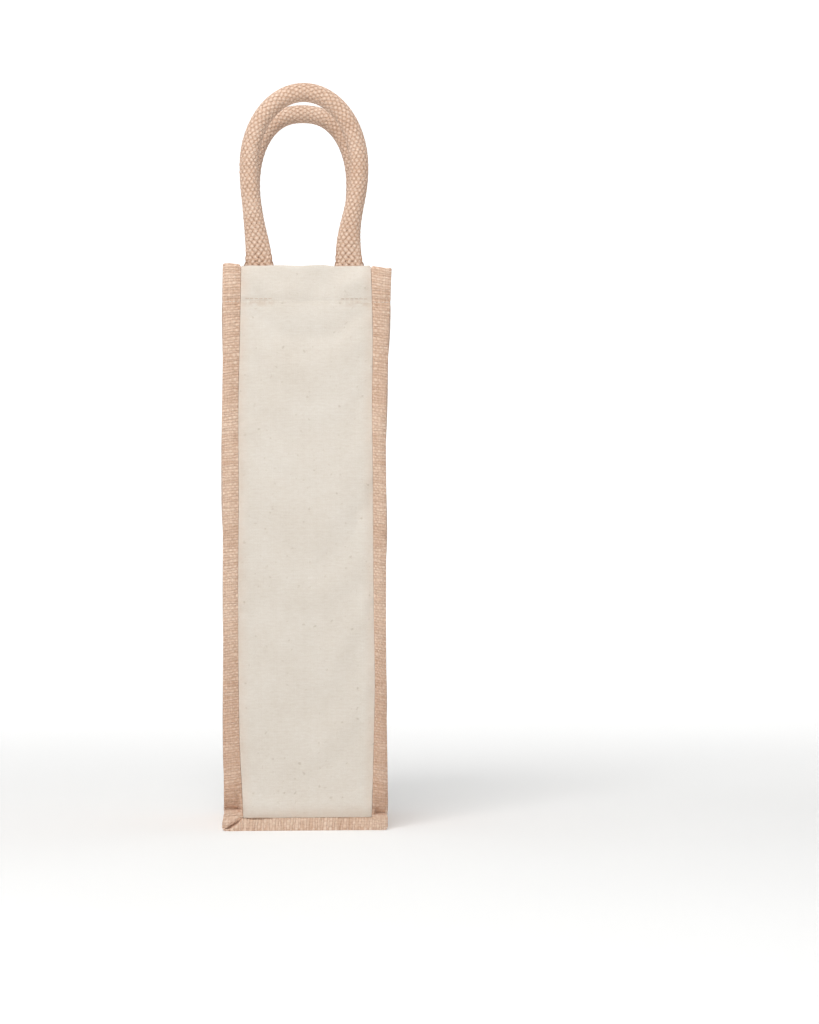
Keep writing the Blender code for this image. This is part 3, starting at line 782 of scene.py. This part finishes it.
def canvas_panel(face, canvas):
    outside, inside = CANVAS_DEPTH, ALLOWANCE_DEPTH
    corners = [(0, outside), (SEAM_X, outside), (SEAM_X, inside), (HALF_WIDTH - TURNED_END, inside)]
    across = rounded(corners, CANVAS_FOLD, CANVAS_SPACING)
    straight = int(np.argmax(across[:, 0] > SEAM_X - CANVAS_FOLD - 1e-6)) + 1
    across_run = run_lengths(across)
    across = np.concatenate([across[:0:-1] * (-1, 1), across])
    across_run = np.concatenate([-across_run[:0:-1], across_run])
    top = RIM - CANVAS / 2 - CANVAS_HEM_FOLD
    corners = [(ALLOWANCE_LOW, inside), (SEAM_Z, inside), (SEAM_Z, outside), (top, outside)]
    upwards = rounded(corners, CANVAS_FOLD, CANVAS_SPACING * 1.1)
    upwards_run = run_lengths(upwards)

    x = across[None, :, 0]
    depth = np.maximum(across[None, :, 1], upwards[:, None, 1])
    in_allowance = smooth(outside, inside, across[None, :, 1])
    z = upwards[:, None, 0] * (1 - in_allowance * (1 - (RIM - ALLOWANCE_DROP) / top))
    sheet = Sheet()
    points = on_face(face, x, depth, z)
    sheet.add(points, together(across_run[None, :], upwards_run[:, None]))

    middle = len(across) // 2
    columns = slice(middle - straight + 1, middle + straight)
    outer = points[-1, columns]
    inner = on_face(face, outer[:, 0], CANVAS_HEM_DEPTH, top)
    rows = hem_rows(outer, inner, CANVAS_HEM_FOLD, HEM_BOTTOM + 0.7 * MM, 16)
    down = run_lengths(rows[:, 0]) + upwards_run[-1]
    sheet.add(rows, together(across_run[None, columns], down[:, None]))
    made = sheet.make(f"{face}_canvas", CANVAS, canvas)
    width = across_run[-1] - across_run[0]
    hem = down[-1] - upwards_run[-1]
    area = width * upwards_run[-1] + 2 * across_run[middle + straight - 1] * hem
    return made, (float(width), float(down[-1])), float(area)


# ---- the jute strip

LOWER_FOLD = 2.4 * MM  # radius of the fold between a side wall and the base
LEAST_FOLD = 0.25 * MM
CORNER_REACH = 14 * MM  # the part of each leg where the border narrows into its mitre
STRIP_HEM_FOLD = 0.6 * MM
LEG_ROWS, CORNER_ROWS, ARC_STEPS, BASE_ROWS = 190, 15, 6, 38


def strip_section():
    """Half of the strip's section as (inset, depth below the face), up the walls and along the base."""
    edge = SIDE_BORDER - JUTE / 2
    corners = [
        (BORDER_DEPTH, HALF_DEPTH),
        (BORDER_DEPTH, BORDER_DEPTH),
        (edge, BORDER_DEPTH),
        (edge, TURNED_DEPTH),
        (TURNED_END, TURNED_DEPTH),
    ]
    half = rounded(corners, JUTE_FOLD - 0.01 * MM, 1.0 * MM, 3)
    wall = half[:, 1] > 4 * MM  # where every third point is enough
    keep = np.ones(len(half), bool)
    keep[1:][wall[1:]] = np.arange(wall[1:].sum()) % 3 == 2
    half = half[keep]
    narrow = (BASE_BORDER - JUTE) / (SIDE_BORDER - JUTE)
    base = half.copy()
    base[:, 0] = BORDER_DEPTH + (half[:, 0] - BORDER_DEPTH) * narrow
    return half, base


def leg_and_corner(side_inset, base_inset):
    """One column's way down a side wall and round to the base, as (inset from the side, z), in two parts
    that meet in the middle of the fold."""
    radius = max(LOWER_FOLD - side_inset, LEAST_FOLD)
    leg = np.linspace(RIM - JUTE / 2 - STRIP_HEM_FOLD, CORNER_REACH, LEG_ROWS)
    down = np.concatenate([leg, np.linspace(CORNER_REACH, base_inset + radius, CORNER_ROWS)[1:]])
    down = together(side_inset, down)
    a = math.pi / 2 * np.arange(1, ARC_STEPS + 1) / ARC_STEPS
    arc = (side_inset, base_inset) + radius * together(1 - np.cos(a), 1 - np.sin(a))
    along = np.linspace(side_inset + radius, CORNER_REACH, CORNER_ROWS)[1:]
    along = together(along, base_inset)
    middle = ARC_STEPS // 2
    return np.concatenate([down, arc[:middle]]), np.concatenate([arc[middle - 1 :], along])


def gusset_strip(jute):
    half, base_half = strip_section()
    run, base_run = run_lengths(half), run_lengths(base_half)
    front = np.arange(len(half) - 1, 0, -1)
    order = np.concatenate([front, np.arange(len(half))])
    sign = np.where(np.arange(len(order)) < len(front), -1, 1)
    inset, y = half[order, 0], sign * (HALF_DEPTH - half[order, 1])
    flat_u, flat_base_u = sign * run[order], sign * base_run[order]
    ways = [leg_and_corner(*insets) for insets in zip(inset, base_half[order, 0])]
    first, second = (np.stack([way[i] for way in ways], 1) for i in (0, 1))
    sheet = Sheet()

    def add(x, z, flat_across, flat_along):
        sheet.add(together(x, y, z), together(flat_across, flat_along))

    for side in (-1, 1):
        add(side * (HALF_WIDTH - first[..., 0]), first[..., 1], flat_u, first[..., 1])
        x = side * (HALF_WIDTH - second[..., 0])
        add(x, second[..., 1], flat_base_u, x - HALF_WIDTH)
    reach = HALF_WIDTH - CORNER_REACH
    x = np.linspace(reach, -reach, BASE_ROWS)[:, None]
    add(x, second[-1, :, 1], flat_base_u, x - HALF_WIDTH)

    hem_of_strip(sheet, inset, y, flat_u, first[0, 0, 1])
    made = sheet.make("jute_strip", JUTE, jute)
    width = 2 * run[-1]
    hem_width = 2 * (run[-1] - (SIDE_BORDER - TURNED_END))
    inner, hems = 2 * RIM + 2 * HALF_WIDTH, 2 * (RIM - HEM_BOTTOM)
    return made, (float(width), float(inner + hems)), float(width * inner + hem_width * hems)


def hem_of_strip(sheet, inset, y, flat_u, top):
    """The strip's two ends, folded down inside the mouth."""
    edge = SIDE_BORDER - JUTE / 2
    on_border = HALF_DEPTH - np.abs(y) < BORDER_DEPTH + 1e-6
    keep = on_border | (inset < BORDER_DEPTH + JUTE_FOLD)
    y, inset, flat_u = y[keep], inset[keep], flat_u[keep]
    inner_y = y * (HALF_DEPTH - JUTE_HEM_DEPTH) / (HALF_DEPTH - BORDER_DEPTH)
    inner_inset = JUTE_HEM_INSET + (inset - BORDER_DEPTH) * (edge - JUTE_HEM_INSET) / (edge - BORDER_DEPTH)
    for side in (-1, 1):
        outer = together(side * (HALF_WIDTH - inset), y, top)
        inner = together(side * (HALF_WIDTH - inner_inset), inner_y, top)
        rows = hem_rows(outer, inner, STRIP_HEM_FOLD, HEM_BOTTOM + 0.9 * MM, 10)
        down = top + run_lengths(rows[:, len(y) // 2])
        sheet.add(rows, together(flat_u[None, :], down[:, None]))


# ---- the handles

HANDLE_DIAMETER = 12 * MM
SLEEVE_WALL = 1.9 * MM
END_WIDTH = END_HIGH.x - END_LOW.x
END_THICKNESS = END_HIGH.y - END_LOW.y
HANDLE_SHIFT = {  # to +X at the feet and higher up, and how much more at the right foot
    "front": (0.1 * MM, -1.8 * MM, -2.3 * MM),
    "back": (0.2 * MM, -0.5 * MM, 0.0),
}
ARCH_POWER = {"front": 1.0, "back": 0.85}  # below 1 for an arch that is broader than half an ellipse
CORE_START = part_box("front_handle_core")[0].z - RIM - 3 * MM  # height above the rim
SHOULDER = 62 * MM  # height above the rim where the handle is widest
FLAT_LENGTH = 40 * MM  # height over which it goes from flat to round
YARNS_EACH_WAY = 12
CELL = 4.6 * MM  # length of one diamond of the braid
YARN_WIDTH = 1.36 * MM  # half a yarn's width
YARN_THICK = 0.42 * MM, 0.04 * MM  # half its thickness where the handle is flat, and what a round one adds
YARN_RISE = 0.06 * MM, 0.2 * MM  # how far it rises over the others, in the same way
YARN_SECTION = np.radians([0, 48, 90, 132, 180, 270])
YARN_OFFSET = 0.37  # between the fibre patterns of two yarns
ROPE_STRANDS, ROPE_LAY, ROPE_SIDES = 3, 26 * MM, 18
FOLLOWS_RIM = 30 * MM  # height over which a handle's own shape takes over from the rim's


def handle_line(word, spacing):
    """The handle's centre line as x and height above the rim, from one sewn-in end to the other."""
    span = SLEEVE_HIGH.x - HANDLE_DIAMETER / 2
    rise = SLEEVE_HIGH.z - RIM - HANDLE_DIAMETER / 2
    height = np.linspace(END_LOW.z - RIM, SHOULDER, 200)[:-1]
    t = np.clip(height / SHOULDER, 0, 1)
    leg = together(TAB_X + (span - TAB_X) * t * t * (3 - 2 * t), height)
    a = np.linspace(0, math.pi, 400)
    reach = np.sign(np.cos(a)) * np.abs(np.cos(a)) ** ARCH_POWER[word]
    arch = together(span * reach, SHOULDER + (rise - SHOULDER) * np.sin(a))
    line = np.concatenate([leg, arch, leg[::-1] * (-1, 1)])
    run = run_lengths(line)
    at = np.linspace(0, run[-1], int(run[-1] / spacing) + 1)
    return together(*(np.interp(at, run, line[:, i]) for i in (0, 1))), at


def handle_size(line):
    """Width and thickness of the handle at each point of its line."""
    left = np.clip(1 - line[:, 1] / FLAT_LENGTH, 0, 1)
    width = HANDLE_DIAMETER + (END_WIDTH - HANDLE_DIAMETER) * left**1.8
    thickness = (math.pi * HANDLE_DIAMETER - 2 * width) / (math.pi - 2)
    return width, np.clip(thickness, END_THICKNESS, HANDLE_DIAMETER)


def handle_braid(word, side, braid):
    crossing = CELL / 2
    line, run = handle_line(word, crossing / 4)
    width, thickness = handle_size(line)
    tangent = unit(np.gradient(line, axis=0))
    across = together(tangent[:, 1], -tangent[:, 0])
    plump = smooth(END_THICKNESS, 0.7 * HANDLE_DIAMETER, thickness)
    rise, thick = (flat + more * plump for flat, more in (YARN_RISE, YARN_THICK))
    half_w = width / 2 - rise - thick - 0.55 * YARN_WIDTH * (1 - plump)
    half_t = thickness / 2 - rise - thick
    turns = 2 * math.pi * run / (YARNS_EACH_WAY * CELL)
    crown = np.clip(np.sin(YARN_SECTION), 0, 1) ** 1.5
    verts, faces, lifts, flats = [], [], [], []
    for yarn in range(2 * YARNS_EACH_WAY):
        way, number = 1 if yarn < YARNS_EACH_WAY else -1, yarn % YARNS_EACH_WAY
        angle = 2 * math.pi * number / YARNS_EACH_WAY + way * turns
        up = way * np.cos(math.pi * run / crossing)
        normal = unit(together(np.cos(angle) / half_w, np.sin(angle) / half_t))
        spot = together(half_w * np.cos(angle), half_t * np.sin(angle)) + normal * (rise * up)[:, None]
        centre = place_in_world(line, across, spot, side * HANDLE_Y)
        out = together(across[:, 0] * normal[:, 0], normal[:, 1], across[:, 1] * normal[:, 0])
        beside = unit(np.cross(unit(np.gradient(centre, axis=0)), out))
        ring = [
            centre + beside * (YARN_WIDTH * math.cos(a)) + out * (thick * math.sin(a))[:, None]
            for a in YARN_SECTION
        ]
        verts.append(np.stack(ring, 1).reshape(-1, 3))
        faces.append(grid_faces(len(line), len(ring), yarn * len(verts[0]), closed=True))
        # lift: 1 on each yarn's crown and 0 in its crevices; the finish paints highlight and shade from it.
        lifts.append(((0.5 + 0.5 * up[:, None]) ** 1.5 * (0.15 + 0.85 * crown)).reshape(-1))
        flat = together(run[:, None] + number * YARN_OFFSET, YARN_SECTION / (2 * math.pi))
        flats.append(flat.reshape(-1, 2))
    faces = np.concatenate(faces)
    mesh = bpy.data.meshes.new(f"{word}_handle_braid")
    mesh.from_pydata(settle_handle(np.concatenate(verts), word), [], faces.tolist())
    attribute = mesh.attributes.new("lift", "FLOAT", "POINT")
    attribute.data.foreach_set("value", np.concatenate(lifts).astype(np.float32))
    around = mesh.uv_layers.new(name="Yarn")
    around.data.foreach_set("uv", np.concatenate(flats)[faces.reshape(-1)].reshape(-1))
    made = link(mesh.name, mesh, braid)
    made.data.shade_smooth()
    return made


def place_in_world(line, across, spot, plane):
    """A spot of the handle's section, across its plane and out of it, at each point of its line."""
    in_plane = line + across * spot[:, :1]
    return together(in_plane[:, 0], plane + spot[:, 1], RIM + in_plane[:, 1])


def settle_handle(points, word):
    """Moves a handle with the rim that it is sewn to. Higher up it keeps its own shape."""
    at_rim = points.copy()
    at_rim[:, 2] = np.minimum(points[:, 2], RIM - 1.5 * MM)
    above = points[:, 2] - RIM
    share = np.exp(-np.clip(above, 0, None) / FOLLOWS_RIM)
    moved = points + (warp(at_rim) - at_rim) * share[:, None]
    at_foot, higher, right_foot = HANDLE_SHIFT[word]
    moved[:, 0] += at_foot + (higher - at_foot) * smooth(-6 * MM, 30 * MM, above)
    moved[:, 0] += right_foot * (points[:, 0] > 0) * (1 - smooth(10 * MM, 55 * MM, above))
    return moved


# ---- tubes: the handles' cores and the stitches


def tubes(name, paths, up, radius, made_of, sides=6):
    """One mesh of closed tubes. paths is tubes x points x 3, up points near each tube's upper side, and
    radius may differ from place to place round and along them."""
    ahead = unit(np.gradient(paths, axis=1))
    beside = unit(np.cross(ahead, up))
    above = np.cross(beside, ahead)
    a = np.linspace(0, 2 * math.pi, sides, endpoint=False)
    ring = beside[:, :, None] * np.cos(a)[:, None] + above[:, :, None] * np.sin(a)[:, None]
    verts = paths[:, :, None] + ring * np.asarray(radius)[..., None]
    count, length = paths.shape[:2]
    faces = []
    run = np.cumsum(np.linalg.norm(np.diff(paths, axis=1, prepend=paths[:, :1]), axis=2), axis=1)
    flats = together(run[:, :, None], a / (2 * math.pi)).reshape(-1, 2)
    for tube in range(count):
        first = tube * length * sides
        faces += grid_faces(length, sides, first, closed=True).tolist()
        last = first + (length - 1) * sides
        faces += [list(range(first + sides - 1, first - 1, -1)), list(range(last, last + sides))]
    mesh = bpy.data.meshes.new(name)
    mesh.from_pydata(verts.reshape(-1, 3), [], faces)
    corners = np.array([corner for face in faces for corner in face])
    mesh.uv_layers.new(name="Yarn").data.foreach_set("uv", flats[corners].reshape(-1))
    made = link(name, mesh, made_of)
    made.data.shade_smooth()
    return made


def handle_core(word, side, cord):
    """The cotton rope inside the braid, where the handle is round enough to hold it."""
    line, run = handle_line(word, 2 * MM)
    thickness = handle_size(line)[1]
    keep = line[:, 1] > CORE_START
    line, run, thickness = line[keep], run[keep], thickness[keep]
    centre = together(line[:, 0], side * HANDLE_Y, RIM + line[:, 1])
    a = np.linspace(0, 2 * math.pi, ROPE_SIDES, endpoint=False)
    lobes = np.abs(np.sin(ROPE_STRANDS / 2 * (a[None] + 2 * math.pi * run[:, None] / ROPE_LAY)))
    radius = (thickness / 2 - SLEEVE_WALL)[:, None] * (0.86 + 0.14 * lobes)
    paths, up = settle_handle(centre, word)[None], np.array([0, side, 0.0])
    return tubes(f"{word}_handle_rope", paths, up, radius[None], cord, ROPE_SIDES)


THREAD_RADIUS = 0.16 * MM
STITCH = 2.1 * MM
STITCH_GAP = 0.6 * MM
STITCH_PLACES = np.array([-0.02, 0.1, 0.3, 0.5, 0.7, 0.9, 1.02])  # along a stitch
STITCH_LIFTS = np.array([-1.8, 0.0, 0.4, 0.5, 0.4, 0.0, -1.8]) * THREAD_RADIUS  # above the cloth there


def stitches_along(start, end, out):
    """Centre lines of a row of stitches from start to end on a surface that faces out."""
    start, end, out = (np.array(v, float) for v in (start, end, out))
    length = np.linalg.norm(end - start)
    count = max(1, round(float(length) / (STITCH + STITCH_GAP)))
    pitch = length / count
    at = (np.arange(count)[:, None] + 0.5) * pitch + (STITCH_PLACES - 0.5) * (pitch - STITCH_GAP)
    return start + (end - start) * (at / length)[..., None] + out * STITCH_LIFTS[:, None]


def stitched(name, rows, thread):
    """One mesh of all the rows, each (start, end, out), moved with the cloth."""
    stitches = [stitches_along(*row) for row in rows]
    up = np.concatenate([np.broadcast_to(row[2], paths.shape) for row, paths in zip(rows, stitches)])
    paths = np.concatenate(stitches)
    made = tubes(name, paths, up, np.full(paths.shape[:2] + (1,), THREAD_RADIUS), thread)
    points = np.empty(len(made.data.vertices) * 3)
    made.data.vertices.foreach_get("co", points)
    made.data.vertices.foreach_set("co", warp(points.reshape(-1, 3)).reshape(-1))
    made.data.update()
    return made


def hem_row(inside):
    """The ring of stitches round the mouth, on the bag's outside or inside."""
    if inside:
        border = HALF_DEPTH - JUTE_HEM_DEPTH - JUTE / 2
        handle_end = abs(END_HIGH.y)
        stops = [
            (-HALF_WIDTH + 2.5 * MM, -SEAM, border),
            (-END_HIGH.x, -END_LOW.x, handle_end),
            (-END_LOW.x + 1 * MM, END_LOW.x - 1 * MM, HALF_DEPTH - CANVAS_HEM_DEPTH - CANVAS / 2),
            (END_LOW.x, END_HIGH.x, handle_end),
            (SEAM, HALF_WIDTH - 2.5 * MM, border),
        ]
        side_x, side_y, facing = HALF_WIDTH - JUTE_HEM_INSET - JUTE / 2, HALF_DEPTH - 4 * MM, -1
    else:
        stops = [
            (-HALF_WIDTH + 1 * MM, -SEAM - 0.5 * MM, HALF_DEPTH),
            (-SEAM + 0.5 * MM, SEAM - 0.5 * MM, CANVAS_FACE),
            (SEAM + 0.5 * MM, HALF_WIDTH - 1 * MM, HALF_DEPTH),
        ]
        side_x, side_y, facing = HALF_WIDTH, HALF_DEPTH - 1 * MM, 1
    z, rows = STITCH_Z, []
    for sign in (-1, 1):
        rows += [((low, sign * y, z), (high, sign * y, z), (0, facing * sign, 0)) for low, high, y in stops]
        rows.append(((sign * side_x, -side_y, z), (sign * side_x, side_y, z), (facing * sign, 0, 0)))
    return rows


def tack_row(node, face, inside):
    """The row that fastens one handle end just above the hem's row."""
    low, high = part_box(node)
    y = SIGN[face] * (abs(END_HIGH.y) if inside else CANVAS_FACE)
    return [((low.x, y, TACK_Z), (high.x, y, TACK_Z), (0, -SIGN[face] if inside else SIGN[face], 0))]


def seam_rows(face):
    """The seam's stitches on the canvas's turned-in edge, inside the bag."""
    y = SIGN[face] * (HALF_DEPTH - ALLOWANCE_DEPTH - CANVAS / 2)
    x, z = SEAM + 1.5 * MM, BASE_BORDER - 1.2 * MM
    corners = [(-x, y, HEM_BOTTOM), (-x, y, z), (x, y, z), (x, y, HEM_BOTTOM)]
    return [(start, end, (0, -SIGN[face], 0)) for start, end in zip(corners, corners[1:])]


# ---- stage, light and camera


FLOOR_RADIUS = 3.2
WALL_HEIGHT = 1.3
WALL_CURVE = 0.5
FLOOR_SIDES = 96
GLOW_NEAR, GLOW_AWAY, GLOW_BEHIND = 0.22, 0.13, 0.31  # at the bag, more further away, and more behind it
WORLD_STRENGTH = 0.03
CAMERA_DISTANCE = 1.69  # from the bag's front
CAMERA_HEIGHT = 0.197
CAMERA_ROUND = math.radians(1.2)  # how far to the bag's left it stands
CAMERA_TURN = math.radians(2.185)  # how far it looks past the bag's right
LENS = 95.9


def area_light(name, place, aim, size, power):
    data = bpy.data.lights.new(name, "AREA")
    data.shape = "RECTANGLE"
    data.size, data.size_y = size
    data.energy = power
    made = bpy.data.objects.new(name, data)
    bpy.context.scene.collection.objects.link(made)
    made.location = place
    direction = Vector(aim) - Vector(place)
    made.rotation_euler = direction.to_track_quat("-Z", "Y").to_euler()


def stage_and_light():
    """A pale round floor that curves up into a wall. It glows away from the bag, where no shadow falls."""
    finish = Finish("paper_floor", 0.85)
    place = finish.node("ShaderNodeTexCoord", {}).outputs["Object"]
    parts = finish.node("ShaderNodeSeparateXYZ", {0: place})
    grain = finish.noise(*parts.outputs, scale=3.0, detail=3.0)
    finish.colour(finish.ramp(grain, PAPER))
    away = finish.node("ShaderNodeVectorMath", {0: place}, operation="LENGTH").outputs["Value"]
    glow = finish.math("MULTIPLY_ADD", finish.step(0.15, 1.0, away), GLOW_AWAY, GLOW_NEAR)
    glow = finish.math("MULTIPLY_ADD", finish.step(-0.2, 1.4, parts.outputs[1]), GLOW_BEHIND, glow)
    finish.tree.links.new(glow, finish.shader.inputs["Emission Strength"])
    finish.shader.inputs["Emission Color"].default_value = (1, 1, 1, 1)
    line = rounded([(0, 0), (FLOOR_RADIUS, 0), (FLOOR_RADIUS, WALL_HEIGHT)], WALL_CURVE, 0.4, 12)[1:]
    turns = -np.linspace(0, 2 * math.pi, FLOOR_SIDES, endpoint=False)
    reach, height = line[:, :1], line[:, 1:]
    points = together(reach * np.cos(turns), reach * np.sin(turns), height).reshape(-1, 3)
    centre = [(len(points), (i + 1) % FLOOR_SIDES, i) for i in range(FLOOR_SIDES)]
    mesh = bpy.data.meshes.new("backdrop")
    rings = grid_faces(len(line), FLOOR_SIDES, closed=True).tolist()
    mesh.from_pydata([*points, (0, 0, 0)], [], centre + rings)
    floor = link("backdrop", mesh, finish.material)
    floor.data.shade_smooth()

    area_light("key", place=(-0.3, -0.95, 1.4), aim=(0, 0, 0.3), size=(0.8, 0.6), power=16.3)
    area_light("top", place=(0.0, 0.1, 1.7), aim=(0, 0, 0.2), size=(1.4, 1.4), power=9)
    world = bpy.data.worlds.new("studio")
    world.use_nodes = True
    colour, strength = world.node_tree.nodes["Background"].inputs[:2]
    colour.default_value, strength.default_value = (1, 1, 1, 1), WORLD_STRENGTH
    bpy.context.scene.world = world
    bpy.context.scene.view_settings.view_transform = "Standard"


def camera():
    """Level, and turned so that the bag is left of the picture's middle."""
    data = bpy.data.cameras.new("camera")
    data.sensor_width = 36
    data.lens = LENS
    made = bpy.data.objects.new("camera", data)
    bpy.context.scene.collection.objects.link(made)
    distance = HALF_DEPTH + CAMERA_DISTANCE
    made.location = (-distance * math.sin(CAMERA_ROUND), -distance * math.cos(CAMERA_ROUND), CAMERA_HEIGHT)
    made.rotation_euler = (math.radians(90), 0, -CAMERA_ROUND - CAMERA_TURN)
    bpy.context.scene.camera = made


# ---- the bag


def put(made, body, slot, *nodes):
    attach(made, body)
    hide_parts(*nodes)


def add_sheet(made, node, slot):
    put(made, "bag", slot, node)


def add_stitches(name, node, rows, thread):
    put(stitched(name, rows, thread), "bag", "thread", node)


def add_handle(face, braid, cord):
    side, body = SIGN[face], f"{face}_handle"
    handle = handle_braid(face, side, braid)
    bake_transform(handle)
    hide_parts(f"{body}_sleeve", f"{body}_end_left", f"{body}_end_right")
    put(handle_core(face, side, cord), body, "core_cotton", f"{body}_core")


def build():
    camera()
    stage_and_light()
    for wall, facts in WALLS.items():
        hang_wall(wall, *facts)
    jute, canvas = jute_finish(), canvas_finish()
    braid = yarn_finish("handle_yarn", 1.5 * MM, JUTE_YARN, 0.25 * MM)
    thread = yarn_finish("sewing_thread", 0.6 * MM, SEWING_THREAD, 0.05 * MM)
    tack_thread = yarn_finish("tack_thread", 0.6 * MM, TACK_THREAD, 0.05 * MM)
    cord = yarn_finish("cotton_cord", 3 * MM, COTTON_CORD, 0.2 * MM)

    strip, flat, area = gusset_strip(jute)
    add_sheet(strip, "gusset_strip", "jute")
    for place in ("outside", "inside"):
        add_stitches(f"hem_stitches_{place}", f"hem_thread_{place}", hem_row(place == "inside"), thread)
    for face in ("front", "back"):
        panel, flat, area = canvas_panel(face, canvas)
        add_sheet(panel, f"{face}_panel", "canvas")
        add_stitches(f"{face}_seam_stitches", f"{face}_seam_thread", seam_rows(face), thread)
        for leg in ("left", "right"):
            for place in ("outside", "inside"):
                node = f"{face}_handle_tack_{leg}_{place}"
                add_stitches(f"{node}_stitches", node, tack_row(node, face, place == "inside"), tack_thread)
        add_handle(face, braid, cord)


build()
